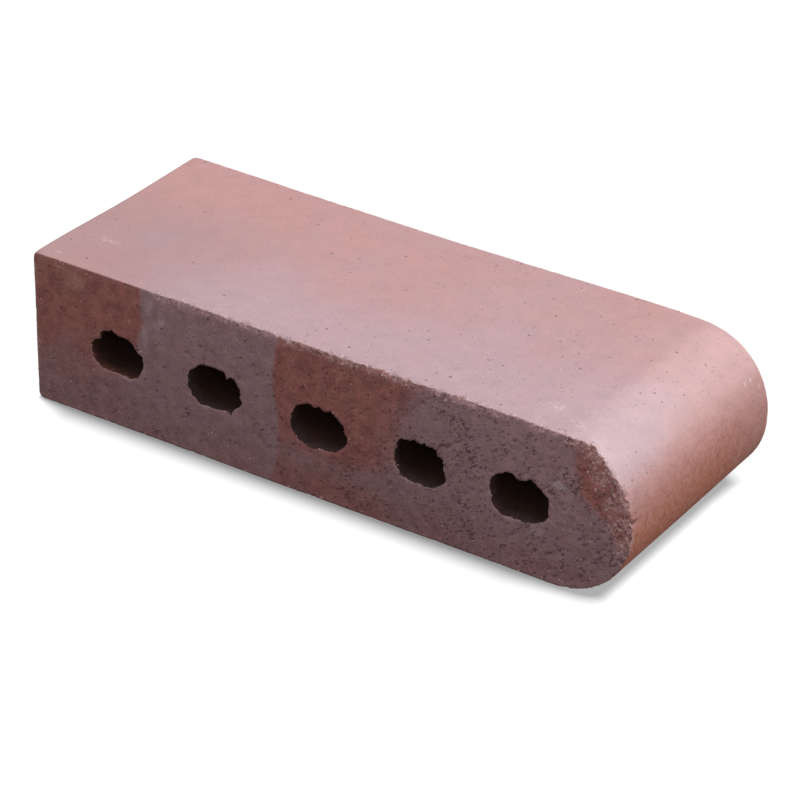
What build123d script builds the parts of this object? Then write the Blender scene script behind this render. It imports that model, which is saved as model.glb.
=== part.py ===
"""A bullnose coping brick: one fired clay unit that caps a wall, a step or a pool edge.

The clay is pushed through a die as one long column and cut across by wires. So the top, the bed,
the nose and the square end are the smooth die skin, and the two long sides with the core holes
are the wire cuts. The brick lies on its bed face.

Frame: millimetres, +X towards the round nose, +Y through the width, +Z up. The origin is the
middle of the brick's footprint, on the bed face.
"""

import os

from build123d import *

# Overall size: nominally 9 1/2 x 3 5/8 x 2 1/4 inches.
brick_length = 241.0
brick_width = 92.0
brick_thickness = 58.0

# The die's outline. The nose is a full bullnose: two quarter rounds with a narrow land between.
nose_radius = 28.0
bed_arris_radius = 3.0
top_arris_radius = 1.6

# The five cores run right through the width, at mid-thickness.
core_count = 5
core_width = 23.2
core_height = 17.4
core_corner_radius = 7.6
core_pitch = 41.0
first_core_from_end = 36.0
core_level = 28.3

# How far each core wandered from the even pitch while the column was soft, from the square end on.
core_drift = (-0.5, 0.2, 2.0, 1.4, -1.0)

end_x = -brick_length / 2
tip_x = brick_length / 2
nose_centre_x = tip_x - nose_radius


def die_outline():
    """The closed outline of the clay column, drawn in X and Z from the bed corner at the nose."""
    top = brick_thickness
    with BuildSketch(Plane.XZ) as outline:
        with BuildLine():
            under_nose = (nose_centre_x, 0)
            over_nose = (nose_centre_x, top)
            lower_round = JernArc(under_nose, (1, 0), nose_radius, 90)
            land = Line(lower_round @ 1, (tip_x, top - nose_radius))
            JernArc(land @ 1, (0, 1), nose_radius, 90)
            top_face = Line(over_nose, (end_x + top_arris_radius, top))
            top_arris = JernArc(top_face @ 1, (-1, 0), top_arris_radius, 90)
            square_end = Line(top_arris @ 1, (end_x, bed_arris_radius))
            bed_arris = JernArc(square_end @ 1, (0, -1), bed_arris_radius, 90)
            Line(bed_arris @ 1, under_nose)
        make_face()
    return outline.sketch


def core_centres():
    """The middle of each core in X and Z, counted from the square end."""
    first_x = end_x + first_core_from_end
    return [(first_x + k * core_pitch + core_drift[k], core_level) for k in range(core_count)]


def core_outlines():
    """The five oblong core openings, on the same plane as the die's outline."""
    with BuildSketch(Plane.XZ) as cores:
        with Locations(*core_centres()):
            RectangleRounded(core_width, core_height, core_corner_radius)
    return cores.sketch


def coping_brick():
    """The whole brick as one solid, with its cores cut through."""
    column = extrude(die_outline(), amount=brick_width / 2, both=True)
    cores = extrude(core_outlines(), amount=brick_width / 2, both=True)
    return column - cores


os.makedirs("parts", exist_ok=True)
brick = coping_brick()
brick.label = "coping_brick"
export_step(brick, "parts/coping_brick.step")
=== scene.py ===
import math

import bpy
import numpy as np
from mathutils import Matrix, Vector


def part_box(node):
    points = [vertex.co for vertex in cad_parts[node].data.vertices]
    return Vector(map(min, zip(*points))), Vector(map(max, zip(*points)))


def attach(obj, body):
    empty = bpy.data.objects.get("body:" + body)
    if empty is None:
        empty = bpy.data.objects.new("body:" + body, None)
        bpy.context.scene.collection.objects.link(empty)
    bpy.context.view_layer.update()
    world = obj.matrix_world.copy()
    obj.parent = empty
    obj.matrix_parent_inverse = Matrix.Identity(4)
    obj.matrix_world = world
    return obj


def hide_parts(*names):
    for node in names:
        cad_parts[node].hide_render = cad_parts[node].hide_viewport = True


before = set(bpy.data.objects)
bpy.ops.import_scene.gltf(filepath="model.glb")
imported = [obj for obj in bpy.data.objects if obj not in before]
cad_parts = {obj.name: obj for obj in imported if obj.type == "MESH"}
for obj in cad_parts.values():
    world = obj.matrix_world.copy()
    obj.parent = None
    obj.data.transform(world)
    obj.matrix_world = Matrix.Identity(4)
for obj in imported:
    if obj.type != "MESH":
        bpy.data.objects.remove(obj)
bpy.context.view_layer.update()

brickLow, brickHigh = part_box("coping_brick")
mm = 0.001
scene = bpy.context.scene

# Short ways to write node trees


class Value:
    # a node's output, which adds and multiplies like a number
    def __init__(self, tree, socket):
        self.tree = tree
        self.socket = socket

    def __add__(self, other):
        return calc("ADD", self, other)

    def __sub__(self, other):
        return calc("SUBTRACT", self, other)

    def __rsub__(self, other):
        return calc("SUBTRACT", other, self)

    def __mul__(self, other):
        return calc("MULTIPLY", self, other)

    def __truediv__(self, other):
        return calc("DIVIDE", self, other)

    def __rtruediv__(self, other):
        return calc("DIVIDE", other, self)


class Step:
    # a node in a tree; step["Name"] is one of its outputs
    def __init__(self, tree, node):
        self.tree = tree
        self.node = node

    def __getitem__(self, name):
        return Value(self.tree, self.node.outputs[name])

    def plug(self, name, value):
        # takes another node's output or a plain value
        socket = self.node.inputs[name]
        if isinstance(value, Value):
            self.tree.links.new(value.socket, socket)
        else:
            socket.default_value = value


def addNode(tree, kind, inputs=None, **settings):
    step = Step(tree, tree.nodes.new(kind))
    for name, value in settings.items():
        setattr(step.node, name, value)
    for name, value in (inputs or {}).items():
        step.plug(name, value)
    return step


def treeOf(*values):
    return next(value.tree for value in values if isinstance(value, Value))


def calc(operation, *values):
    return addNode(treeOf(*values), "ShaderNodeMath", dict(enumerate(values)), operation=operation)[0]


def largest(first, *others):
    for other in others:
        first = calc("MAXIMUM", first, other)
    return first


def vectorCalc(operation, inputs, output=0):
    return addNode(treeOf(*inputs.values()), "ShaderNodeVectorMath", inputs, operation=operation)[output]


def combine(tree, x=0.0, y=0.0, z=0.0):
    return addNode(tree, "ShaderNodeCombineXYZ", {0: x, 1: y, 2: z})[0]


def axes(vector):
    parts = addNode(vector.tree, "ShaderNodeSeparateXYZ", {0: vector})
    return parts["X"], parts["Y"], parts["Z"]


def blend(share, under, over, mode="MIX"):
    # numbers 6 and 7 are the colour sockets
    inputs = {0: share, 6: under, 7: over}
    return addNode(treeOf(share, under, over), "ShaderNodeMix", inputs, data_type="RGBA", blend_type=mode)[2]


def coated(colour, colours, coats):
    # coats: how much of each colour goes over the ones before it
    for share, name in coats:
        colour = blend(share, colour, colours[name])
    return colour


def ramp(value, low, high, toLow=0.0, toHigh=1.0, curve="LINEAR"):
    inputs = dict(enumerate((value, low, high, toLow, toHigh)))
    return addNode(value.tree, "ShaderNodeMapRange", inputs, interpolation_type=curve)[0]


def remap(*values):
    return ramp(*values, curve="SMOOTHSTEP")


# Camera, floor and light

viewSettings = {
    "cameraPlace": (0.57464, -0.88593, 0.63923),
    "azimuth": 32.86,  # degrees round from the front face towards the nose
    "elevation": 30.52,
    "roll": 0.99,
    "lens": 159.8,
    "sensor": 36.0,
    "floorSize": 24.0,
    "shadowReach": 10.5 * mm,  # how far the soft contact shadow spreads in front
    "noseShadowReach": 6.4 * mm,
    "backShadowReach": 7.2 * mm,
    "endShadow": 0.08,  # the share of that reach past the square end
    "shadowShade": 0.30,  # the floor right against the brick
    "noseShadowShade": 0.42,
    "openShade": 1.02,  # the floor out in the open
    "occlusion": (0.54, 0.985),  # from right against the brick to out in the open
    "noseStarts": (78 * mm, 98 * mm),  # along X, where the shadow at the nose takes over
    "backStarts": (28 * mm, 48 * mm),  # along Y, where the shadow at the back takes over
    "endStarts": (-121 * mm, -104 * mm),  # along X, where the shadow past the square end lets go
    "skyAbove": (0.30, 0.31, 0.33, 1.0),
    "skyBelow": (0.17, 0.14, 0.13, 1.0),
    "skyTurns": (-0.35, 0.25),  # the heights between which the sky changes
}

# Soft suns: degrees round and up to where each shines from, its strength and how many degrees wide it is
suns = {
    "window_behind": (156.0, 38.0, 3.4, 74.0),
    "window_right": (95.0, 25.0, 0.50, 90.0),
    "lamp_in_front": (0.0, 60.0, 1.25, 90.0),
}
white = (1.0, 1.0, 1.0, 1.0)
black = (0.0, 0.0, 0.0, 1.0)


def towards(azimuth, elevation):
    # azimuth 0 is in front of the brick's long cut face, 90 is past the nose
    a, e = math.radians(azimuth), math.radians(elevation)
    return Vector((math.sin(a) * math.cos(e), -math.cos(a) * math.cos(e), math.sin(e)))


def addCamera(settings):
    camera = bpy.data.objects.new("camera", bpy.data.cameras.new("camera"))
    camera.data.sensor_width = settings["sensor"]
    camera.data.lens = settings["lens"]
    turn = Matrix.Rotation(math.radians(settings["azimuth"]), 4, "Z")
    tip = Matrix.Rotation(math.radians(90.0 - settings["elevation"]), 4, "X")
    roll = Matrix.Rotation(math.radians(settings["roll"]), 4, "Z")
    camera.matrix_world = Matrix.Translation(settings["cameraPlace"]) @ turn @ tip @ roll
    camera.data.clip_end = 100.0
    scene.collection.objects.link(camera)
    scene.camera = camera


def addSuns(settings):
    for name, (azimuth, elevation, strength, softness) in settings.items():
        lamp = bpy.data.lights.new(name, "SUN")
        lamp.energy = strength
        lamp.angle = math.radians(softness)
        holder = bpy.data.objects.new(name, lamp)
        direction = towards(azimuth, elevation)
        holder.rotation_mode = "QUATERNION"
        holder.rotation_quaternion = direction.to_track_quat("Z", "Y")
        holder.location = direction * 2.0
        scene.collection.objects.link(holder)


def addFloor(settings):
    half = settings["floorSize"] / 2
    mesh = bpy.data.meshes.new("floor")
    corners = [(-half, -half, 0), (half, -half, 0), (half, half, 0), (-half, half, 0)]
    mesh.from_pydata(corners, [], [(0, 1, 2, 3)])
    floor = bpy.data.objects.new("floor", mesh)
    mesh.materials.append(whitePaper(settings))
    # the white paper is only a ground to stand on, and throws no light back on the clay
    floor.visible_diffuse = False
    floor.visible_glossy = False
    scene.collection.objects.link(floor)


def whitePaper(settings):
    paper = bpy.data.materials.new("white paper")
    paper.use_nodes = True
    tree = paper.node_tree
    x, y, _ = axes(addNode(tree, "ShaderNodeTexCoord")["Object"])
    noseReach = ramp(y, *settings["backStarts"], settings["noseShadowReach"], settings["backShadowReach"])
    reach = ramp(x, *settings["noseStarts"], settings["shadowReach"], noseReach)
    closest = ramp(x, *settings["noseStarts"], settings["shadowShade"], settings["noseShadowShade"])
    offEnd = ramp(x, *settings["endStarts"], settings["endShadow"], 1.0)
    closeBy = addNode(tree, "ShaderNodeAmbientOcclusion", {"Distance": reach * offEnd}, samples=24)["AO"]
    shader = Step(tree, tree.nodes["Principled BSDF"])
    shader.plug("Base Color", black)
    shader.plug("Roughness", 1.0)
    shader.plug("Specular IOR Level", 0.0)
    shader.plug("Emission Color", white)
    shader.plug("Emission Strength", ramp(closeBy, *settings["occlusion"], closest, settings["openShade"]))
    return paper


def addSky(settings):
    # brighter above than below; the camera itself sees plain white
    world = bpy.data.worlds.new("studio")
    world.use_nodes = True
    tree = world.node_tree
    _, _, height = axes(addNode(tree, "ShaderNodeTexCoord")["Generated"])
    light = blend(ramp(height, *settings["skyTurns"]), settings["skyBelow"], settings["skyAbove"])
    seen = addNode(tree, "ShaderNodeLightPath")["Is Camera Ray"]
    Step(tree, tree.nodes["Background"]).plug("Color", blend(seen, light, white))
    scene.world = world


scene.view_settings.view_transform = "Standard"
addCamera(viewSettings)
addSuns(suns)
addSky(viewSettings)
addFloor(viewSettings)
print("camera, floor and light are in place")


# Node groups, and meshes grown from geometry trees


def newTree(name, kind, inputs, outputs):
    # an input is a number, or a kind of socket such as "Vector"; an output is a kind of socket
    tree = bpy.data.node_groups.new(name, kind)
    for label, given in inputs.items():
        if isinstance(given, str):
            tree.interface.new_socket(label, in_out="INPUT", socket_type="NodeSocket" + given)
        else:
            number = "NodeSocketInt" if isinstance(given, int) else "NodeSocketFloat"
            tree.interface.new_socket(label, in_out="INPUT", socket_type=number).default_value = given
    for label, given in outputs.items():
        tree.interface.new_socket(label, in_out="OUTPUT", socket_type="NodeSocket" + given)
    return tree, addNode(tree, "NodeGroupInput"), addNode(tree, "NodeGroupOutput")


def newGeometryTree(name, inputs):
    tree, given, result = newTree(name, "GeometryNodeTree", inputs, {"Geometry": "Geometry"})

    def add(kind, inputs=None, **settings):
        return addNode(tree, "GeometryNode" + kind, inputs, **settings)

    return tree, add, given, result


def grow(name, baseMesh, tree, values):
    # runs a geometry tree on a mesh and returns the result as a plain mesh
    holder = bpy.data.objects.new(name, baseMesh)
    scene.collection.objects.link(holder)
    modifier = holder.modifiers.new(tree.name, "NODES")
    modifier.node_group = tree
    for item in tree.interface.items_tree:
        if item.in_out == "INPUT" and item.name in values:
            modifier[item.identifier] = values[item.name]
    depsgraph = bpy.context.evaluated_depsgraph_get()
    plain = bpy.data.meshes.new_from_object(
        holder.evaluated_get(depsgraph), preserve_all_data_layers=True, depsgraph=depsgraph
    )
    holder.modifiers.remove(modifier)
    bpy.data.objects.remove(holder)
    plain.name = name
    tidySlots(plain)
    return plain


def tidySlots(mesh):
    # drops the empty material slots that the trees leave
    kept = [slot for slot, material in enumerate(mesh.materials) if material is not None]
    order = {slot: place for place, slot in enumerate(kept)}
    indices = [order.get(face.material_index, 0) for face in mesh.polygons]
    materials = [mesh.materials[slot] for slot in kept]
    mesh.materials.clear()
    for material in materials:
        mesh.materials.append(material)
    mesh.polygons.foreach_set("material_index", indices)


def readPoints(mesh):
    flat = np.empty(len(mesh.vertices) * 3)
    mesh.vertices.foreach_get("co", flat)
    return flat.reshape(-1, 3)


def writePoints(mesh, points):
    mesh.vertices.foreach_set("co", points.ravel())
    mesh.update()


# The clay column: die outline and cores, cut to width

columnSizes = {
    "Length": (brickHigh - brickLow).x,
    "Width": (brickHigh - brickLow).y,
    "Thickness": (brickHigh - brickLow).z,
    "Nose Radius": 28.0 * mm,
    "Bed Arris": 3.0 * mm,
    "Top Arris": 1.6 * mm,
    "Core Width": 23.2 * mm,
    "Core Height": 17.4 * mm,
    "Core Corner": 7.6 * mm,
    "Corner Steps": 240,
    "Core Steps": 48,
    "Mesh Size": 0.65 * mm,
    "Fitting Rounds": 8,  # how often the grid's rim is drawn to the outline
    "Weld": 0.01 * mm,
    "Stations": 24,
    "Grading": 0.88,  # how much the stations crowd towards the two cuts
}
coreRow = {"firstFromEnd": 36.0, "pitch": 41.0, "level": 28.3, "drift": (-0.5, 0.2, 2.0, 1.4, -1.0)}

brickLength = columnSizes["Length"] / mm
brickWidth = columnSizes["Width"] / mm
brickTop = columnSizes["Thickness"] / mm
coreX = np.array([-brickLength / 2 + coreRow["firstFromEnd"] + k * coreRow["pitch"] + drift
                  for k, drift in enumerate(coreRow["drift"])])


def columnTree():
    shapes = {"Core Centres": "Geometry", "Skin": "Material", "Cut": "Material", "Core Wall": "Material"}
    tree, add, size, result = newGeometryTree("clay column", {**shapes, **columnSizes})

    def logic(operation, *values):
        return addNode(tree, "FunctionNodeBooleanMath", dict(enumerate(values)), operation=operation)[0]

    def pick(which, without, within):
        return addNode(tree, "ShaderNodeMix", {"Factor": which, "A": without, "B": within})["Result"]

    def roundedOutline(width, height, radius, steps):
        corners = add("CurvePrimitiveQuadrilateral", {"Width": width, "Height": height})["Curve"]
        return add("FilletCurve", {"Curve": corners, "Count": steps, "Radius": radius}, mode="POLY")["Curve"]

    def join(*geometries):
        joint = add("JoinGeometry")
        for geometry in geometries:
            joint.plug(0, geometry)
        return joint[0]

    def mark(geometry, name, value, domain, where=True):
        inputs = {"Geometry": geometry, "Name": name, "Selection": where, "Value": value}
        return add("StoreNamedAttribute", inputs, data_type="BOOLEAN", domain=domain)[0]

    def marked(name):
        return add("InputNamedAttribute", {"Name": name}, data_type="BOOLEAN")[0]

    def raised(geometry, height, turn=(0.0, 0.0, 0.0)):
        inputs = {"Geometry": geometry, "Translation": combine(tree, z=height), "Rotation": turn}
        return add("Transform", inputs)[0]

    def repeat(rounds, geometry):
        start, end = add("RepeatInput"), add("RepeatOutput")
        start.node.pair_with_output(end.node)
        start.plug("Iterations", rounds)
        start.plug("Geometry", geometry)
        return start, end

    # the nose corners are full quarter rounds, the two at the square end are small
    position = add("InputPosition")[0]
    x, y, z = axes(position)
    endRadius = pick(calc("GREATER_THAN", y, 0.0), size["Bed Arris"], size["Top Arris"])
    radius = pick(calc("GREATER_THAN", x, 0.0), endRadius, size["Nose Radius"])
    outline = roundedOutline(size["Length"], size["Thickness"], radius, size["Corner Steps"])
    core = roundedOutline(*(size["Core " + name] for name in ("Width", "Height", "Corner", "Steps")))
    placed = add("InstanceOnPoints", {"Points": size["Core Centres"], "Instance": core})["Instances"]
    cores = add("RealizeInstances", {"Geometry": placed})[0]
    drawing = join(cores, outline)
    sheet = add("FillCurve", {"Curve": drawing}, mode="TRIANGLES")["Mesh"]
    lines = add("CurveToMesh", {"Curve": drawing})["Mesh"]
    coreLines = add("CurveToMesh", {"Curve": cores})["Mesh"]

    # a fine grid, trimmed to the drawing and drawn out to its lines
    grid = add("MeshGrid", {
        "Size X": size["Length"], "Vertices X": calc("ROUND", size["Length"] / size["Mesh Size"]) + 1.0,
        "Size Y": size["Thickness"], "Vertices Y": calc("ROUND", size["Thickness"] / size["Mesh Size"]) + 1.0,
    })["Mesh"]
    hit = add("Raycast", {
        "Target Geometry": sheet, "Source Position": vectorCalc("ADD", {0: position, 1: (0.0, 0.0, 1.0)}),
        "Ray Direction": (0.0, 0.0, -1.0), "Ray Length": 2.0,
    })["Is Hit"]
    trimmed = add("DeleteGeometry", {"Geometry": grid, "Selection": logic("NOT", hit)}, domain="FACE")[0]
    faceCount = add("InputMeshEdgeNeighbors")["Face Count"]
    single = addNode(tree, "FunctionNodeCompare", {2: faceCount, 3: 1}, data_type="INT", operation="EQUAL")[0]
    # judged edge by edge, so the inner corners of the grid's steps count too
    rim = add("FieldOnDomain", {0: single}, data_type="BOOLEAN", domain="EDGE")[0]
    nearest = add("Proximity", {0: lines}, target_element="EDGES")["Position"]
    evened = add("BlurAttribute", {"Value": position, "Iterations": 1}, data_type="FLOAT_VECTOR")["Value"]
    start, end = repeat(size["Fitting Rounds"], trimmed)
    eased = add("SetPosition", {"Geometry": start["Geometry"], "Position": evened})[0]
    drawn = add("SetPosition", {"Geometry": eased, "Selection": rim, "Position": nearest})[0]
    end.plug("Geometry", drawn)
    face = mark(end["Geometry"], "rim", rim, "EDGE")
    halfWidth = size["Width"] * 0.5

    # pushed through the width, in short steps near the cuts and long ones between
    first, last = repeat(size["Stations"], raised(face, halfWidth))

    def stationDepth(step):
        share = step / size["Stations"]
        crowded = calc("SINE", share * math.tau) * (size["Grading"] / math.tau)
        return (share - crowded) * size["Width"]

    thisStep = first["Iteration"]
    stride = combine(tree, z=stationDepth(thisStep) - stationDepth(thisStep + 1.0))
    edge = {"Mesh": first["Geometry"], "Selection": marked("rim"), "Offset": stride}
    pushed = add("ExtrudeMesh", edge, mode="EDGES")
    newRim = mark(pushed["Mesh"], "rim", pushed["Top"], "EDGE")
    last.plug("Geometry", mark(newRim, "wall", True, "FACE", pushed["Side"]))

    # the second cut closes the far side
    turned = add("FlipFaces", {"Mesh": raised(face, halfWidth * -1.0)})[0]
    closed = join(turned, last["Geometry"])
    joined = add("MergeByDistance", {"Geometry": closed, "Distance": size["Weld"]})[0]
    lying = raised(joined, size["Thickness"] * 0.5, (math.pi / 2, 0.0, 0.0))

    # each kind of surface gets its own finish
    isWall = marked("wall")
    onDrawing = combine(tree, x, z - size["Thickness"] * 0.5)
    around = {0: coreLines, "Sample Position": onDrawing}
    toCore = add("Proximity", around, target_element="EDGES")["Distance"]
    isCore = logic("AND", isWall, calc("LESS_THAN", toCore, size["Mesh Size"]))
    whole = add("RealizeInstances", {"Geometry": lying})[0]
    for where, finish in ((True, "Skin"), (logic("NOT", isWall), "Cut"), (isCore, "Core Wall")):
        whole = add("SetMaterial", {"Geometry": whole, "Selection": where, "Material": size[finish]})[0]
    result.plug("Geometry", whole)
    return tree


def coreCentresMesh():
    # the five core centres, as points on the drawing plane
    mesh = bpy.data.meshes.new("core centres")
    mesh.from_pydata([(x * mm, (coreRow["level"] - brickTop / 2) * mm, 0.0) for x in coreX], [], [])
    return mesh


skinClay = bpy.data.materials.new("die skin clay")
cutClay = bpy.data.materials.new("wire cut clay")
coreClay = bpy.data.materials.new("core wall clay")
clays = {"Skin": skinClay, "Cut": cutClay, "Core Wall": coreClay}
column = grow("fired_brick", coreCentresMesh(), columnTree(), {**columnSizes, **clays})
column.shade_smooth()
brick = bpy.data.objects.new("fired_brick", column)
scene.collection.objects.link(brick)
print("the clay column has", sum(len(face.vertices) - 2 for face in column.polygons), "triangles")


# Relief: what the die, the wire and the kiln left on the clay. From here on in millimetres.

relief = {
    "cutRecess": 0.30,  # how far the cut faces lie inside the full width
    "cutWave": 0.16,
    "dragRidge": 0.10,  # ridges that the wire dragged up
    "dragSlope": 36,  # degrees, rising towards the nose
    "dragLong": 4.5,  # how many times longer than wide they are
    "calmEdge": 3,  # how far in from an arris the ridges calm down
    "grain": 0.09,
    "pits": 330,  # large pits on each cut face
    "pitDepth": 0.45,
    "skinWave": 0.14,
    "chip": 1.7,  # deepest chip out of an arris
    "skinChipReach": 1.1,  # how far a chip runs in along the skin
    "cutChipReach": 1.5,  # and along the cut
    "fray": 0.28,  # depth of the torn band
    "frayReach": 3.4,  # how far the torn band runs in from an arris
    "noseFray": 2.4,  # how many times further it runs in round the nose
    "mouthReach": 5.5,  # how far a torn mouth's shape runs into its core
    "mouthWidth": 4,  # and how far out from the core's wall
    "mouthRough": 0.38,
    "mouthCrumble": 0.5,  # clay lost from the cut face around a mouth
    "coreRidge": 0.16,
    "backBow": 1.3,  # how far the back cut bows in along its top
    "endFlare": 1.8,  # how far the square end leans in towards the back
    "endReach": 30,  # how far along the brick that is felt
    "frontCorner": 0.7,  # the worn corner between the square end and the front cut
    "backCorner": 3.6,  # the same at the back
    "lipReach": 3.2,  # how far the dragged lip runs back along the nose
    "shoulderEase": 0.45,  # how far the top sinks before the nose
    "knock": 0.25,  # the front top corner is knocked round
    "knockReach": 2.6,
    "tearDepth": 0.40,
    "skinFade": 5,  # how deep a change of the skin is felt in the cut faces
    "cutFade": 7,  # how deep a change of the cut is felt in the skin
}

# The wire dragged a lip of clay up where the front cut meets the nose: place along X, and height.
dragLip = [(92.5, 0), (98, 0.3), (101, 1), (104, 2), (105.4, 1.5), (107.5, 0.5), (111, 0)]

# A small notch knocked out of the nose's rim: its middle, how far it reaches and how deep it is
notch = {"middle": (120.4, -44.6, 32.5), "squash": (1, 1, 1.3), "reach": 2.2, "depth": 1}

# Drag tears beside the fourth core: X, Z and how open the tear is there
tears = [
    [(46.4, 35.4, 1), (48.5, 38.6, 1), (50.7, 38, 1.1), (52.3, 39.8, 0.6), (57.7, 43.3, 0.45),
     (62, 46.4, 0.25)],
    [(49.4, 34.6, 0.5), (51.5, 30.8, 0.7), (53.2, 27, 0.3)],
]

# Each front mouth, read round from the nose side: degrees, and how far the clay stands into the core.
frontMouths = [
    {0: 0.3, 14: 0.4, 20: 2, 34: 2.1, 44: 1.5, 58: 0.9, 80: 0.9, 96: 0.4, 101: -0.7, 107: 0.5, 122: 0.9,
     134: 1.4, 141: 3, 158: 2.6, 166: 1, 180: 0.8, 210: 1.1, 235: 1.2, 265: 1.4, 290: 1, 320: 0.6,
     345: 0.3},
    {0: 0.8, 10: 1, 28: 0.9, 42: 0.6, 50: 1.2, 55: 3, 60: 1.8, 65: 0.4, 88: 0.2, 110: 0.3, 133: 0.7,
     146: 1.4, 156: 0.7, 180: 0.4, 215: 0.9, 235: 0.6, 262: 1.3, 285: 1.2, 302: 2.2, 308: 1.6, 312: 0,
     317: 1, 330: 1.5, 342: 0.8, 353: 0.1},
    {0: 0.1, 6: 1.3, 20: 1.2, 30: 1.9, 45: 1.7, 58: 1.4, 72: 2.3, 80: 1.8, 88: 1.2, 100: 1.9, 105: 2,
     116: 1.2, 130: 1.7, 146: 1.6, 160: 0.9, 180: 0.7, 205: 0.1, 235: -0.3, 265: -0.1, 295: 0, 318: 0.6,
     335: 0.2, 348: -0.4},
    {0: 2.1, 12: 2.4, 24: 2.3, 36: 2.9, 46: 2.2, 55: 1.2, 68: 1.6, 77: 0.3, 83: 1.5, 97: 1.4, 107: 0.9,
     118: 1.5, 133: 1.1, 148: 1.4, 158: 1.7, 164: 2.1, 180: 1.9, 194: 1.3, 200: 1.7, 222: 1.2, 250: 0.4,
     290: 0.3, 322: 1, 337: 0.7, 350: 1.2},
    {0: 0.5, 20: 0.5, 32: 1, 42: 1.5, 52: 1.3, 62: 0.4, 70: 0.8, 78: 1.6, 92: 1.9, 101: 1.8, 105: 0.4,
     125: 0.5, 140: 0.8, 155: 0.5, 180: 0.3, 190: 0.5, 194: 1.1, 200: 0.3, 228: -0.2, 250: 0.1, 290: 0.2,
     315: 0.7, 335: 0.3},
]
touching = 0.02  # closer than this a point lies on a surface


def stacked(*columns):
    return np.stack(columns, axis=1)


def softNoise(points, size, seed):
    # smooth random values from -1 to 1, in blobs of about that size
    side = 32
    table = np.random.default_rng(seed).uniform(-1, 1, (side, side, side))
    place = points / size
    corner = np.floor(place).astype(int)
    part = place - corner
    part = part * part * (3 - 2 * part)
    total = np.zeros(len(points))
    for offset in np.ndindex(2, 2, 2):
        share = np.where(offset, part, 1 - part).prod(axis=1)
        ix, iy, iz = ((corner + offset) % side).T
        total += share * table[ix, iy, iz]
    return total


def layered(points, seed, *layers):
    # a sum of soft noises, each given by its size and its share
    return sum(softNoise(points, size, seed + k) * share for k, (size, share) in enumerate(layers))


def ease(value, low, high):
    # 0 below low, 1 above high, smooth between
    t = np.clip((value - low) / (high - low), 0, 1)
    return t * t * (3 - 2 * t)


def fade(distance, reach):
    return np.clip(1 - distance / reach, 0, 1)


def roundedGap(x, z, halfLong, halfHigh, radius):
    # distance out from a rounded rectangle's edge, negative inside
    qx = np.abs(x) - halfLong + radius
    qz = np.abs(z) - halfHigh + radius
    outside = np.hypot(np.maximum(qx, 0), np.maximum(qz, 0))
    return outside + np.minimum(np.maximum(qx, qz), 0) - radius


def dieGap(x, z):
    height = z - brickTop / 2
    endRadius = np.where(height > 0, columnSizes["Top Arris"], columnSizes["Bed Arris"]) / mm
    radius = np.where(x > 0, columnSizes["Nose Radius"] / mm, endRadius)
    return roundedGap(x, height, brickLength / 2, brickTop / 2, radius)


def coreGap(x, z, centre):
    width, height, corner = (columnSizes["Core " + name] / mm for name in ("Width", "Height", "Corner"))
    return roundedGap(x - centre, z - coreRow["level"], width / 2, height / 2, corner)


def slopeOf(gap, x, z):
    # the direction in which a gap grows, in X and Z
    h = 0.02
    gx = gap(x + h, z) - gap(x - h, z)
    gz = gap(x, z + h) - gap(x, z - h)
    length = np.maximum(np.hypot(gx, gz), 1e-9)
    return gx / length, gz / length


def pitField(x, z, seed):
    # large pits, drawn out along the wire's drag
    rng = np.random.default_rng(seed)
    slope = math.radians(relief["dragSlope"])
    depth = np.zeros(len(x))
    for _ in range(relief["pits"]):
        px = rng.uniform(-brickLength / 2, brickLength / 2)
        pz = rng.uniform(0, brickTop)
        long, wide, deep = rng.uniform(0.5, 1.4), rng.uniform(0.35, 0.6), rng.uniform(0.4, 1)
        turn = slope + rng.normal(0, 0.25)
        crowded = 0.15 + 0.85 * ease(px, -20, 60)
        if rng.random() > crowded:
            continue
        near = (np.abs(x - px) < 3) & (np.abs(z - pz) < 3)
        dx, dz = x[near] - px, z[near] - pz
        along = (dx * math.cos(turn) + dz * math.sin(turn)) / long
        across = (dz * math.cos(turn) - dx * math.sin(turn)) / wide
        depth[near] = np.maximum(depth[near], deep * np.exp(-(along ** 2 + across ** 2) * 1.4))
    return depth


def tearField(x, z):
    # how deep each point lies in a tear, from 0 to 1
    ragged = softNoise(stacked(x, z, x * 0), 1.2, 35)
    depth = np.zeros(len(x))
    for tear in tears:
        for (ax, az, aOpen), (bx, bz, bOpen) in zip(tear, tear[1:]):
            long = math.hypot(bx - ax, bz - az)
            share = np.clip(((x - ax) * (bx - ax) + (z - az) * (bz - az)) / long ** 2, 0, 1)
            off = np.hypot(x - ax - share * (bx - ax), z - az - share * (bz - az))
            openness = np.clip(aOpen + (bOpen - aOpen) * share + 0.5 * ragged, 0, 1.1)
            depth = np.maximum(depth, openness * (1 - ease(off, 0.1, 0.65)))
    return depth


def arrisWear(x, z, front):
    # how torn an arris is: least at the square end and the bed, most round the nose
    wear = 0.10 + 0.72 * ease(x, -75, -60) + 0.14 * ease(x, -20, 20)
    wear = np.where(z > 24, wear, 0.10)
    wear = np.where(x > 96, 0.20 + 0.90 * ease(z, 13, 27), wear)
    return np.where(front, wear, 0.08)


def cornerPull(fromEnd, fromCut, radius):
    # how far a point near an upright corner moves in, along X and along Y
    ex, ey = np.maximum(radius - fromEnd, 0), np.maximum(radius - fromCut, 0)
    reach = np.hypot(ex, ey)
    pull = np.maximum(reach - radius, 0) / np.maximum(reach, 1e-9)
    return ex * pull, ey * pull


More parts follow.
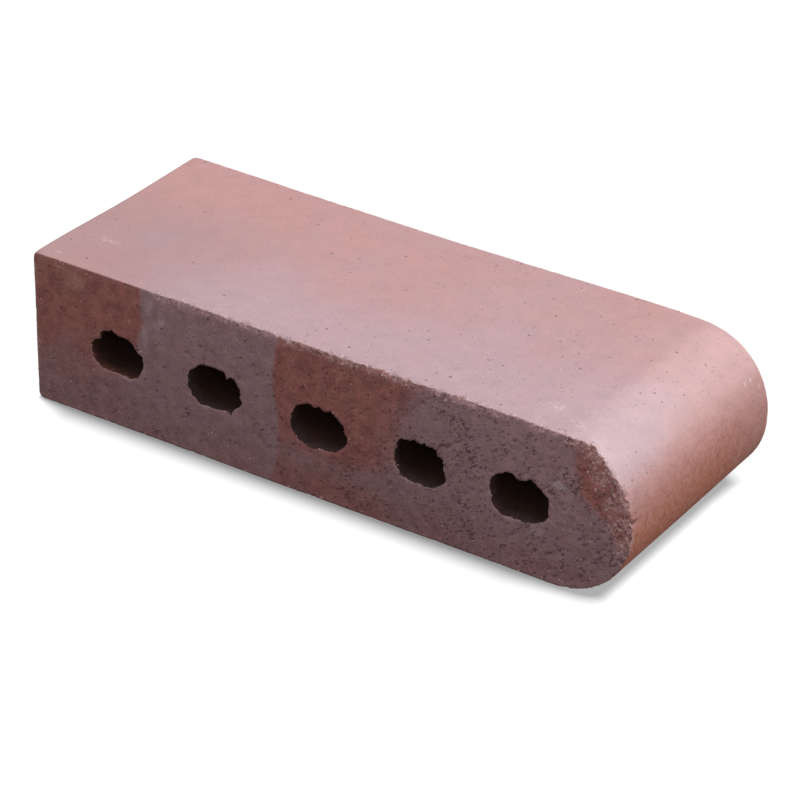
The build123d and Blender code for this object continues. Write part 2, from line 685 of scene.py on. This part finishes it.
def mouthStand(x, z, front, nearest, centre):
    # how far the torn clay stands into its core: as seen on the front, and as it may be on the back
    angle = np.degrees(np.arctan2(z - coreRow["level"], x - centre)) % 360
    stand = np.zeros(len(x))
    rng = np.random.default_rng(51)
    teeth = 20
    for k in range(len(coreX)):
        for isFront in (True, False):
            if isFront:
                degrees, heights = zip(*frontMouths[k].items())
            else:
                degrees = np.sort(rng.uniform(0, 360, teeth))
                heights = rng.gamma(2, 0.45, teeth)
            mine = (nearest == k) & (front == isFront)
            stand[mine] = np.interp(angle[mine], degrees, heights, period=360)
    return stand


def shapeBrick(mesh):
    start = readPoints(mesh) / mm
    x, y, z = start.T
    side = np.sign(y)
    front = y < 0
    fromCut = brickWidth / 2 - np.abs(y)
    fromDie = np.maximum(-dieGap(x, z), 0)
    fromEnd = x + brickLength / 2
    gaps = np.stack([coreGap(x, z, centre) for centre in coreX])
    nearest = gaps.argmin(axis=0)
    centre = coreX[nearest]
    fromCore = np.maximum(gaps.min(axis=0), 0)
    onCut = fromCut < touching
    onCore = (fromCore < touching) & ~onCut
    onSkin = (fromDie < touching) & ~onCut

    # places to read noise at: on the cut, along the wire's drag, on the arrises and in the mouths
    slope = math.radians(relief["dragSlope"])
    along = x * math.cos(slope) + z * math.sin(slope)
    across = z * math.cos(slope) - x * math.sin(slope)
    flatPlace = stacked(x, side * 40, z)
    dragPlace = stacked(along / relief["dragLong"], side * 40, across)
    arrisPlace = stacked(x, side * 20, z)
    mouthPlace = stacked(x, y * 0.6, z)
    right = ease(x, -25, 45)

    # cut faces
    wave = layered(flatPlace, 11, (34, 0.6), (9, 0.4))
    ridge = layered(dragPlace, 13, (1.3, 0.6), (2.6, 0.4))
    grain = softNoise(flatPlace, 1.5, 15)
    pit = np.where(front, pitField(x, z, 21), pitField(x, z, 22))
    pit *= ease(fromDie, 0.5, 2) * ease(fromCore, 0.3, 1.5)
    tear = np.where(front, tearField(x, z), 0)
    calm = 0.25 + 0.75 * ease(fromDie, 0, relief["calmEdge"])
    cutRecess = (relief["cutRecess"] + relief["cutWave"] * wave + relief["pitDepth"] * pit
                 + relief["tearDepth"] * tear
                 + (relief["dragRidge"] * ridge * (0.45 + 0.55 * right) + relief["grain"] * grain) * calm)

    # the back cut bows in along its top, as the photograph shows
    bow = np.exp(-((x + 20) / 62) ** 2) * ease(z, 10, 56)
    cutRecess += np.where(front, 0, relief["backBow"] * bow)

    # arrises: chips where the wire left the skin, most along the front top and round the nose
    wear = arrisWear(x, z, front)

    def chipsOf(seed):
        teeth = layered(arrisPlace, seed, (3.1, 0.5), (1.6, 0.45), (0.8, 0.35))
        spells = 0.25 + 0.9 * ease(softNoise(arrisPlace, 8, seed + 3), -0.35, 0.45)
        return relief["chip"] * wear * spells * ease(teeth, -0.2, 0.65)

    skinChip, cutChip = chipsOf(31), chipsOf(131)
    crumbly = softNoise(flatPlace, 1, 34) + 0.5
    cutRecess += cutChip * fade(fromDie, relief["cutChipReach"])
    cutRecess += relief["fray"] * wear * crumbly * fade(fromDie, relief["frayReach"])
    lowWave = layered(start, 41, (48, 0.7), (17, 0.3))
    lip = np.interp(x, *zip(*dragLip)) * np.exp(-(fromCut / relief["lipReach"]) ** 2)
    upperHalf = z > brickTop / 2
    lip = np.where(front & upperHalf, lip, 0)
    shoulder = relief["shoulderEase"] * ease(x, 78, 95) * (1 - ease(x, 95, 112)) * upperHalf
    skinRecess = relief["skinWave"] * (lowWave + 1) + skinChip * fade(fromCut, relief["skinChipReach"])
    skinRecess = np.maximum(skinRecess + shoulder, 0) - lip
    toNotch = np.linalg.norm((start - notch["middle"]) * notch["squash"], axis=1)
    hollow = 1 - ease(toNotch + 0.8 * softNoise(arrisPlace, 1.1, 38), 0.2, notch["reach"])
    skinRecess += notch["depth"] * hollow

    # the square end leans in towards the back, most along its top
    lean = relief["endFlare"] * ease(y, -40, 14) * (0.35 + 0.65 * ease(z, 0, 52))
    endMove = lean * fade(fromEnd, relief["endReach"])
    worn = relief["backCorner"] * (0.4 + 0.6 * ease(z, 10, 50))
    pullX, pullY = cornerPull(fromEnd, fromCut, np.where(front, relief["frontCorner"], worn))
    knocked = np.where(front, relief["knock"], 0)
    for distance in (fromEnd, fromCut, brickTop - z):
        knocked = knocked * fade(distance, relief["knockReach"])

    # mouths: torn and dragged clay
    stand = mouthStand(x, z, front, nearest, centre)
    stand += relief["mouthRough"] * (softNoise(mouthPlace, 1.1, 52) + 0.6 * softNoise(mouthPlace, 2.4, 53)
                                     + 0.7 * softNoise(mouthPlace, 0.7, 56))
    mouthShare = fade(fromCore, relief["mouthWidth"]) * np.exp(-(fromCut / relief["mouthReach"]) ** 2)
    coreRidges = relief["coreRidge"] * softNoise(stacked(x, y / 14, z), 1.7, 54)
    coreMove = -stand * mouthShare + np.where(onCore, coreRidges * ease(fromCut, 1, 8), 0)
    crumbled = ease(softNoise(mouthPlace, 1.8, 55), 0, 0.8)
    cutRecess += fade(fromCore, 1.5) * crumbled * relief["mouthCrumble"]

    # put together
    dieX, dieZ = slopeOf(dieGap, x, z)
    coreOutX, coreOutZ = slopeOf(lambda a, b: coreGap(a, b, centre), x, z)
    cutRecess = np.maximum(cutRecess, touching)
    skinMove = skinRecess * fade(fromDie, relief["skinFade"])
    moved = start.copy()
    moved[:, 0] += endMove + pullX + knocked - dieX * skinMove + coreOutX * coreMove
    moved[:, 1] -= side * (pullY + knocked + cutRecess * fade(fromCut, relief["cutFade"]))
    moved[:, 2] += -dieZ * skinMove + coreOutZ * coreMove - knocked
    moved[:, 0] = np.clip(moved[:, 0], -brickLength / 2, brickLength / 2)
    moved[:, 2] = np.clip(moved[:, 2], 0, brickTop)
    writePoints(mesh, moved * mm)

    # what the finishes need to know about each point; the torn band is widest round the nose
    noseBand = ease(x, 98, 106) * (0.3 * ease(z, 5, 12) + 0.7 * ease(z, 20, 32))
    frayBand = fade(fromDie, relief["frayReach"] * (1 + relief["noseFray"] * noseBand))
    patchy = np.clip(0.75 + layered(arrisPlace, 36, (3, 0.8), (1.2, 0.5)), 0, 1.3)
    paint = {
        "flash": flashField(start, fromDie, onSkin),
        # pit also sets how much painted shade the finishes put into pits, tears and the nose's notch
        "pit": np.where(onCut, np.maximum(pit, tear), hollow),
        "fray": np.clip(wear * patchy * np.where(onSkin, fade(fromCut, 2.2), frayBand)
                        + fade(fromCore + fromCut * 0.6, 1.2) * 0.10, 0, 1),
        "bloom": bloomField(x, z, front & onCut),
    }
    for name, values in paint.items():
        mesh.attributes.new(name, "FLOAT", "POINT").data.foreach_set("value", values.astype(np.float32))


# Where the kiln's flash ends on the front cut: pairs of height and distance from the square end
redBorders = {
    "endZone": [(0, 40), (24, 44), (36, 46), (58, 46)],
    "middleStart": [(0, 100), (20, 104), (40, 102), (58, 104)],
    "middleEnd": [(0, 150), (18, 146), (32, 149), (45, 154), (58, 160)],
    "noseStart": [(14, 246), (19, 241), (25, 237.5), (29, 234), (34, 228), (39, 222.5),
                  (48, 219), (58, 217)],
}

# Pale blooms on the front cut: distance from the square end, height, half width, half height, strength
blooms = [
    (17.5, 52.5, 6.5, 4, 0.50),
    (12, 55, 3, 2.5, 0.35),
    (50.5, 52, 1.8, 5, 0.60),
    (55, 48, 1.6, 4, 0.55),
    (48, 40, 1.5, 4.5, 0.45),
    (40, 20, 3, 1.6, 0.35),
    (213.5, 38.5, 2.6, 1.7, 0.80),
    (206, 17.5, 2.4, 1.5, 0.55),
    (0.6, 30, 1.3, 30, 0.35),
]


def bloomField(x, z, where):
    ragged = softNoise(stacked(x, z, z * 0), 1.9, 71) * 0.45
    fromEnd = x + brickLength / 2
    strength = np.zeros(len(x))
    for across, up, halfWide, halfHigh, most in blooms:
        off = np.hypot((fromEnd - across) / halfWide, (z - up) / halfHigh) + ragged
        strength = np.maximum(strength, most * (1 - ease(off, 0.35, 1.15)))
    return np.where(where, strength, 0)


def flashField(place, fromDie, onSkin):
    # 1 where the kiln fired the clay red, 0 where it went grey mauve
    x, y, z = place.T
    wander = layered(place, 60, (9, 2.2), (4, 1.5), (1.6, 0.9))
    fromEnd = x + brickLength / 2
    height = z + wander

    def past(border, blur, stray=1.4):
        # blur is how soft a border is, as one number or one for each point
        edge = np.interp(z, *zip(*redBorders[border]))
        return ease(fromEnd + wander * np.minimum(blur, stray) - edge, -1.6 * blur, 1.6 * blur)

    # the front cut: a red zone at the end, one in the middle, one at the nose and a warm foot
    patchy = height + 7 * softNoise(place, 12, 65) - 0.10 * (fromEnd - 20)
    endBlur = 0.6 + 4.5 * (1 - ease(z, 14, 30))
    endRed = (1 - past("endZone", endBlur)) * (0.34 + 0.62 * ease(patchy, 12, 36))
    middleRed = past("middleStart", 0.5) * (1 - past("middleEnd", 6.5, 0.35))
    middleRed *= 0.35 + 0.60 * ease(height, 13, 24)
    noseRed = past("noseStart", 2.4, 0.9) * 0.95
    footRed = 0.30 * (1 - ease(height, 5, 16)) * ease(fromEnd, 30, 60)
    frontFlash = endRed + middleRed + noseRed + footRed

    # the back cut: one red zone in the middle and one at the nose
    ragged = fromEnd + wander
    backMiddle = ease(ragged, 58, 64) * (1 - ease(ragged, 108, 116))
    backMiddle *= 0.4 + 0.5 * ease(height, 15, 30)
    backFlash = backMiddle + 0.8 * ease(ragged, 180, 187) + footRed * 0.8

    # the skin: mauve along the front of the top, salmon towards the back and the square end
    broad = layered(place, 63, (42, 0.20), (15, 0.10))
    mauve = (1 - ease(y, -46, 14)) * ease(fromEnd, 15, 80)
    towardsBack = (1 - ease(fromEnd, 20, 110)) * ease(y, -25, 35)
    lowNose = ease(x, 96, 110) * (1 - ease(z, 40, 54))
    skinFlash = 0.70 - 0.75 * mauve + 0.35 * towardsBack + 0.8 * lowNose + broad
    return np.clip(np.where(onSkin, skinFlash, np.where(y < 0, frontFlash, backFlash)), 0, 1)


shapeBrick(column)
print("relief is on the clay")


# Finishes. Coordinates come in metres from the piece itself, sizes in the groups are millimetres.

cutColours = {
    "mauve": (0.285, 0.172, 0.180, 1.0),
    "red": (0.290, 0.108, 0.095, 1.0),
    "fleck": (0.070, 0.024, 0.026, 1.0),
    "sand": (0.56, 0.42, 0.42, 1.0),
    "crumb": (0.69, 0.44, 0.43, 1.0),
    "tanBloom": (0.40, 0.235, 0.165, 1.0),
    "ashBloom": (0.42, 0.330, 0.350, 1.0),
    "stain": (0.300, 0.150, 0.120, 1.0),
    "scorch": (0.190, 0.070, 0.065, 1.0),
    "torn": (0.530, 0.290, 0.280, 1.0),
}
skinColours = {
    "mauve": (0.403, 0.268, 0.288, 1.0),
    "salmon": (0.428, 0.230, 0.221, 1.0),
    "toasted": (0.370, 0.130, 0.076, 1.0),
    "rusty": (0.390, 0.105, 0.048, 1.0),
    "burnt": (0.200, 0.075, 0.050, 1.0),
    "dull": (0.24, 0.160, 0.165, 1.0),
    "fleck": (0.085, 0.050, 0.050, 1.0),
    "crumb": (0.66, 0.50, 0.49, 1.0),
}
# The core walls are coloured far darker than the clay: painted shade inside the cores
shadedCoreColours = {
    "wall": (0.062, 0.033, 0.035, 1.0),
    "firstWall": (0.095, 0.036, 0.026, 1.0),
    "deep": (0.046, 0.019, 0.014, 1.0),
    "fleck": (0.030, 0.016, 0.015, 1.0),
}


def scaled(vector, *sizes):
    # metres to cells of the given millimetres, one size or one for each axis
    if len(sizes) == 1:
        sizes = sizes * 3
    cells = combine(vector.tree, *(1.0 / mm / size for size in sizes))
    return vectorCalc("MULTIPLY", {0: vector, 1: cells})


def noiseIn(vector, *sizes, detail=3.0, roughness=0.6):
    inputs = {"Vector": scaled(vector, *sizes), "Scale": 1.0, "Detail": detail, "Roughness": roughness}
    return addNode(vector.tree, "ShaderNodeTexNoise", inputs)["Fac"]


def swung(vector, angle):
    # turned in the plane of the cuts
    inputs = {"Vector": vector, "Angle": angle}
    return addNode(vector.tree, "ShaderNodeVectorRotate", inputs, rotation_type="Y_AXIS")[0]


def shaded(colour, level):
    return blend(1.0, colour, combine(colour.tree, level, level, level), "MULTIPLY")


def fleckGroup():
    tree, given, result = newTree(
        "clay flecks", "ShaderNodeTree",
        {"Vector": "Vector", "Cell": 2.0, "Stretch": 1.0, "Slope": 0.0, "Share": 0.3, "Radius": 0.3},
        {"Mask": "Float"},
    )
    vector, cell = given["Vector"], given["Cell"]
    ragged = 0.9 * mm
    noise = {"Vector": vector, "Scale": 1.0 / ragged, "Detail": 2.0}
    wobble = addNode(tree, "ShaderNodeTexNoise", noise)["Color"]
    push = vectorCalc("SUBTRACT", {0: wobble, 1: (0.5, 0.5, 0.5)})
    push = vectorCalc("SCALE", {0: push, "Scale": ragged})
    turned = swung(vectorCalc("ADD", {0: vector, 1: push}), given["Slope"])
    cells = scaled(turned, cell * given["Stretch"], cell, cell)
    blobs = addNode(tree, "ShaderNodeTexVoronoi", {"Vector": cells, "Scale": 1.0}, feature="F1")
    lot = addNode(tree, "ShaderNodeSeparateColor", {0: blobs["Color"]})
    chosen = calc("LESS_THAN", lot[0], given["Share"])
    reach = given["Radius"] * remap(lot[1], 0.0, 1.0, 0.55, 1.2)
    result.plug("Mask", remap(blobs["Distance"], reach, reach * 0.55) * chosen)
    return tree


def grainGroup():
    tree, given, result = newTree(
        "clay grain", "ShaderNodeTree", {"Vector": "Vector", "Coarse": 6.0, "Fine": 0.8},
        {"Shade": "Float", "Height": "Float"},
    )
    broad = noiseIn(given["Vector"], given["Coarse"])
    close = noiseIn(given["Vector"], given["Fine"], roughness=0.65)
    result.plug("Shade", remap(broad * 0.55 + close * 0.45, 0.30, 0.70))
    result.plug("Height", close)
    return tree


def kilnGroup():
    tree, given, result = newTree(
        "kiln flash", "ShaderNodeTree",
        {"Vector": "Vector", "Grey": "Color", "Red": "Color",
         "Flash": 0.0, "Shade": 0.5, "Contrast": 0.3, "Drift": 0.7},
        {"Color": "Color"},
    )
    drift = noiseIn(given["Vector"], 14.0, detail=4.0)
    share = remap(given["Flash"] + (drift - 0.5) * given["Drift"], 0.0, 1.0)
    base = blend(share, given["Grey"], given["Red"])
    result.plug("Color", shaded(base, (given["Shade"] - 0.5) * given["Contrast"] + 1.0))
    return tree


flecks, grain, kiln = fleckGroup(), grainGroup(), kilnGroup()


def placeGroup(group, place, **inputs):
    return addNode(place.tree, "ShaderNodeGroup", {"Vector": place, **inputs}, node_tree=group)


def fleckMask(place, cell, radius, share, stretch=1.0, slope=0.0):
    shape = {"Cell": cell, "Radius": radius, "Share": share, "Stretch": stretch, "Slope": slope}
    return placeGroup(flecks, place, **shape)["Mask"]


def fired(place, grey, red, flash, soil, contrast, drift=0.7):
    looks = {"Grey": grey, "Red": red, "Flash": flash, "Shade": soil["Shade"]}
    return placeGroup(kiln, place, Contrast=contrast, Drift=drift, **looks)["Color"]


def painted(place, name):
    # one of the values that the relief left at each point
    return addNode(place.tree, "ShaderNodeAttribute", attribute_type="GEOMETRY", attribute_name=name)["Fac"]


def startFinish(material):
    # hands back the shader and the piece's own coordinates
    material.use_nodes = True
    tree = material.node_tree
    place = addNode(tree, "ShaderNodeTexCoord")["Object"]
    return Step(tree, tree.nodes["Principled BSDF"]), place


def endFinish(shader, colour, roughness, height, strength, depth, specular):
    bump = {"Height": height, "Strength": strength, "Distance": depth}
    shader.plug("Base Color", colour)
    shader.plug("Roughness", roughness)
    shader.plug("Normal", addNode(shader.tree, "ShaderNodeBump", bump)["Normal"])
    shader.plug("Specular IOR Level", specular)


def finishCut(material):
    shader, place = startFinish(material)
    x, _, z = axes(place)
    slope = math.radians(relief["dragSlope"])
    nearNose = remap(x, -40 * mm, 70 * mm)
    flash, torn = painted(place, "flash"), painted(place, "fray")
    soil = placeGroup(grain, place, Coarse=4.5, Fine=0.9)
    colour = fired(place, cutColours["mauve"], cutColours["red"], flash, soil, flash * 0.16 + 0.38)
    # tan blooms by the square end, ashen ones past it
    bloomColour = blend(remap(x, -95 * mm, -82 * mm), cutColours["tanBloom"], cutColours["ashBloom"])
    broken = remap(noiseIn(place, 1.2), 0.36, 0.58, 0.45, 1.0)
    colour = blend(painted(place, "bloom") * broken, colour, bloomColour)
    # painted shade: the cut is darkened towards the bed, and it is a little lighter towards the nose
    colour = shaded(colour, remap(z, 0.0, 54 * mm, 0.83, 1.07) + remap(x, 45 * mm, 85 * mm, 0.0, 0.09))
    # clouds of stain and scorch, most of them in the red zones
    clouds = noiseIn(place, 6.0)
    stains = remap(clouds, 0.50, 0.66) * flash
    scorch = remap(clouds, 0.46, 0.32) * (flash * 0.70 + 0.30)
    # dark iron flecks, dragged by the wire and crowding towards the nose
    share = nearNose * 0.24 + 0.08
    dragged = fleckMask(place, 1.5, 0.36, share, 1.6, slope)
    fine = fleckMask(place, 0.8, 0.38, share)
    # crooked marks that gather in clumps, more of them towards the nose
    clumps = noiseIn(place, 8.0, detail=2.0, roughness=0.55) - 0.5
    level = noiseIn(swung(place, slope), 2.1, 1.2, 1.2, detail=2.5) + clumps * 0.45
    level = level + nearNose * 0.045
    level = level + remap(x, -62 * mm, -30 * mm) * 0.022 + remap(x, 78 * mm, 96 * mm) * 0.015
    marks = remap(level + torn * 0.035, 0.675, 0.755)
    # pits and tears get painted shade: the pit value joins the dark iron flecks
    flecksAndShade = largest(dragged * 0.75, fine * 0.4, marks * 0.9, painted(place, "pit"))
    # the torn band along an arris is gritty, with pale crumbs and dark gaps of painted shade between them
    rubbed = remap(noiseIn(place, 2.4, detail=4.0, roughness=0.7), 0.36, 0.60)
    gaps = remap(noiseIn(place, 1.1, detail=2.0, roughness=0.55), 0.52, 0.62)
    flecksAndShade = largest(flecksAndShade, gaps * torn * 0.72)
    grit = fleckMask(place, 3.4, 0.13, nearNose * 0.16 + 0.02)
    crumbs = fleckMask(place, 1.3, 0.50, remap(torn, 0.05, 0.6, 0.0, 0.6))
    smears = remap(noiseIn(place, 1.9, detail=4.0, roughness=0.7), 0.48, 0.62)
    crumble = largest(crumbs * 0.8, smears * torn)
    colour = coated(colour, cutColours, [
        (stains * 0.50, "stain"), (scorch * 0.55, "scorch"), (rubbed * torn * 0.82, "torn"),
        (flecksAndShade * 0.72, "fleck"), (grit * 0.6, "sand"), (crumble * 0.88, "crumb"),
    ])
    height = soil["Height"] - flecksAndShade * 0.8 + largest(grit, crumble) * 0.5
    roughness = remap(soil["Shade"], 0.0, 1.0, 0.96, 0.78)
    endFinish(shader, colour, roughness, height, strength=0.9, depth=0.30 * mm, specular=0.25)


# Pale scuffs on the skin: centre, half sizes and strength
scuffs = [
    ((-104.5, -24.0, 58.0), (6.0, 2.2, 4.0), 0.45),
    ((-114.0, -40.5, 58.0), (4.0, 1.6, 4.0), 0.40),
    ((84.0, -32.0, 58.0), (5.0, 3.5, 4.0), 0.55),
    ((94.0, -37.0, 58.0), (5.0, 3.0, 4.0), 0.50),
    ((112.0, -45.0, 46.0), (5.0, 2.5, 9.0), 0.35),
    ((119.0, -45.0, 26.0), (4.0, 2.2, 5.0), 0.45),
]


def finishSkin(material):
    shader, place = startFinish(material)
    x, y, z = axes(place)
    onNose = remap(x, 92 * mm, 112 * mm)
    farSide = remap(y, 12 * mm, 42 * mm)
    # the nose's lower half is orange-brown, partly its own colour and partly painted shade where the top's
    # sheen falls away; its skin is pitted and mottled
    mottle = noiseIn(place, 1.7, detail=4.0, roughness=0.65)
    lowLevel = z + (mottle - 0.5) * (24 * mm)
    lowNose = onNose * remap(lowLevel, 50 * mm, 22 * mm) * (1.0 - farSide * 0.56)
    soil = placeGroup(grain, place, Coarse=7.0, Fine=0.8)
    flash = painted(place, "flash")
    colour = fired(place, skinColours["mauve"], skinColours["salmon"], flash, soil, lowNose * 0.55 + 0.14)
    # painted shade, with some of the clay's own red: darker and redder towards the bottom of the nose
    underNoseShade = remap(z, 28 * mm, 8 * mm) * lowNose
    blotches = noiseIn(place, 2.3)
    # the top is duller towards its front corner at the square end
    nearEnd = remap(x, -35 * mm, -85 * mm) * remap(y, 30 * mm, -10 * mm)
    # dark and pale flecks, and bright specks low on the nose
    share = remap(x, -90 * mm, 60 * mm) * 0.30 + 0.14
    big = fleckMask(place, 3.2, 0.16, share)
    small = fleckMask(place, 1.5, 0.24, share)
    # the nose's notch gets painted shade through the pit value, joined with the dark flecks
    flecksAndShade = largest(big * 0.75, small * 0.45, painted(place, "pit") * 0.85)
    pale = fleckMask(place, 5.5, 0.075, 0.16)
    specks = fleckMask(place, 1.4, 0.36, lowNose * 0.34)
    coats = [
        (lowNose, "toasted"), (underNoseShade * 0.60, "rusty"),
        (lowNose * remap(blotches, 0.50, 0.60) * 0.40, "salmon"),
        (lowNose * remap(blotches, 0.46, 0.36) * 0.44, "burnt"),
        (nearEnd * 0.28, "dull"), (flecksAndShade, "fleck"), (largest(pale * 0.6, specks * 0.24), "crumb"),
    ]
    broken = remap(noiseIn(place, 2.2, 0.7, 0.9, detail=2.0), 0.47, 0.62)
    for middle, halfSizes, most in scuffs:
        centred = vectorCalc("SUBTRACT", {0: place, 1: [along * mm for along in middle]})
        off = vectorCalc("LENGTH", {0: scaled(centred, *halfSizes)}, "Value") + (mottle - 0.5) * 2.0
        coats.append((remap(off, 1.2, 0.1, 0.0, most) * broken, "crumb"))
    # upright pale dashes on the nose's far end
    farNose = farSide * onNose * 0.45 * remap(z, 50 * mm, 40 * mm)
    dashes = fleckMask(place, 1.7, 0.36, farNose, 2.6, math.pi / 2)
    crumble = fleckMask(place, 1.0, 0.42, remap(painted(place, "fray"), 0.05, 0.7, 0.0, 0.6))
    colour = coated(colour, skinColours, coats + [(dashes * 0.34, "crumb"), (crumble * 0.7, "crumb")])
    height = soil["Height"] - flecksAndShade * 0.9 + mottle * lowNose * 3.0
    # the lower half of the nose is rougher and has lost its sheen
    roughness = remap(soil["Shade"], 0.0, 1.0, 0.49, 0.39) + lowNose * 0.22
    endFinish(shader, colour, roughness, height, strength=0.6, depth=0.08 * mm, specular=0.42)


def finishCore(material):
    shader, place = startFinish(material)
    x, y, _ = axes(place)
    soil = placeGroup(grain, place, Coarse=6.0, Fine=0.9)
    # painted shade: the walls darken away from the mouths; the first core is redder
    nearMouth = remap(calc("ABSOLUTE", y), 38 * mm, 46 * mm)
    wall = blend(remap(x, -66 * mm, -76 * mm), shadedCoreColours["wall"], shadedCoreColours["firstWall"])
    # the kiln flash blend only mixes the painted shade deep inside with the wall colour by the mouths
    colour = fired(place, shadedCoreColours["deep"], wall, nearMouth, soil, 0.4, 0.2)
    colour = coated(colour, shadedCoreColours, [(fleckMask(place, 1.8, 0.3, 0.25) * 0.7, "fleck")])
    # the core rods left lines along the walls
    lines = noiseIn(place, 1.3, 50.0, 1.3)
    height = lines * 1.2 + soil["Height"]
    roughness = remap(soil["Shade"], 0.0, 1.0, 0.95, 0.8)
    endFinish(shader, colour, roughness, height, strength=0.8, depth=0.2 * mm, specular=0.2)


finishSkin(skinClay)
finishCut(cutClay)
finishCore(coreClay)
print("finishes are made")


# Loose clay crumbs along the torn edges and sand grains in the cuts

crumbSizes = {"Density": 1.0e6, "Smallest": 0.14 * mm, "Largest": 0.52 * mm, "Sink": 0.10 * mm, "Seed": 7}
sandSizes = {"Density": 0.006e6, "Smallest": 0.18 * mm, "Largest": 0.42 * mm, "Sink": 0.12 * mm, "Seed": 19}
crumbColours = {"pale": (0.60, 0.42, 0.41, 1.0), "dull": (0.30, 0.160, 0.150, 1.0)}
sandColours = {"pale": (0.66, 0.54, 0.53, 1.0), "dull": (0.40, 0.27, 0.27, 1.0)}
lumpShape = {"Knock": 0.28, "Flatness": 0.7}  # how uneven a lump is, and how flat


def scatterTree(name, sizes, cutOnly):
    shapes = {"Clay": "Geometry", "Cut": "Material", "Finish": "Material"}
    tree, add, size, result = newGeometryTree(name, {**shapes, **sizes, **lumpShape})

    def anyVector(low, high, seed):
        inputs = {0: low, 1: high, "Seed": seed}
        return addNode(tree, "FunctionNodeRandomValue", inputs, data_type="FLOAT_VECTOR")[0]

    def equal(value, flatness=1.0):
        return combine(tree, value, value, value * flatness)

    if cutOnly:
        where = add("MaterialSelection", {"Material": size["Cut"]})[0]
    else:
        where = add("InputNamedAttribute", {"Name": "fray"}, data_type="FLOAT")[0]
    scatter = {"Mesh": size["Clay"], "Density": size["Density"] * where, "Seed": size["Seed"]}
    spread = add("DistributePointsOnFaces", scatter)
    sunk = vectorCalc("SCALE", {0: spread["Normal"], "Scale": size["Sink"] * -1.0})
    points = add("SetPosition", {"Geometry": spread["Points"], "Offset": sunk})[0]
    lump = add("MeshIcoSphere", {"Radius": 1.0, "Subdivisions": 1})["Mesh"]
    knock = anyVector(equal(size["Knock"] * -1.0), equal(size["Knock"]), size["Seed"])
    rough = add("SetPosition", {"Geometry": lump, "Offset": knock})[0]
    turn = anyVector((0.0, 0.0, 0.0), (math.tau, math.tau, math.tau), size["Seed"])
    swell = anyVector(equal(size["Smallest"]), equal(size["Largest"], size["Flatness"]), size["Seed"] + 1.0)
    lumps = {"Points": points, "Instance": rough, "Rotation": turn, "Scale": swell}
    whole = add("RealizeInstances", {"Geometry": add("InstanceOnPoints", lumps)[0]})[0]
    result.plug("Geometry", add("SetMaterial", {"Geometry": whole, "Material": size["Finish"]})[0])
    return tree


def finishLumps(material, colours):
    shader, place = startFinish(material)
    soil = placeGroup(grain, place, Coarse=2.2, Fine=0.4)
    colour = blend(soil["Shade"], colours["dull"], colours["pale"])
    roughness = remap(soil["Shade"], 0.0, 1.0, 0.9, 0.7)
    endFinish(shader, colour, roughness, soil["Height"], strength=0.6, depth=0.08 * mm, specular=0.3)


def addLumps(name, sizes, colours, cutOnly):
    label = name.replace("_", " ")
    material = bpy.data.materials.new(label)
    finishLumps(material, colours)
    values = {**sizes, **lumpShape, "Cut": cutClay, "Finish": material}
    mesh = grow(name, column, scatterTree(label, sizes, cutOnly), values)
    writePoints(mesh, np.clip(readPoints(mesh), np.array(brickLow), np.array(brickHigh)))
    piece = bpy.data.objects.new(name, mesh)
    scene.collection.objects.link(piece)
    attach(piece, "root")
    print(name, "has", len(mesh.polygons), "triangles")


addLumps("clay_crumbs", crumbSizes, crumbColours, False)
addLumps("sand_grains", sandSizes, sandColours, True)

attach(brick, "root")
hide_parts("coping_brick")
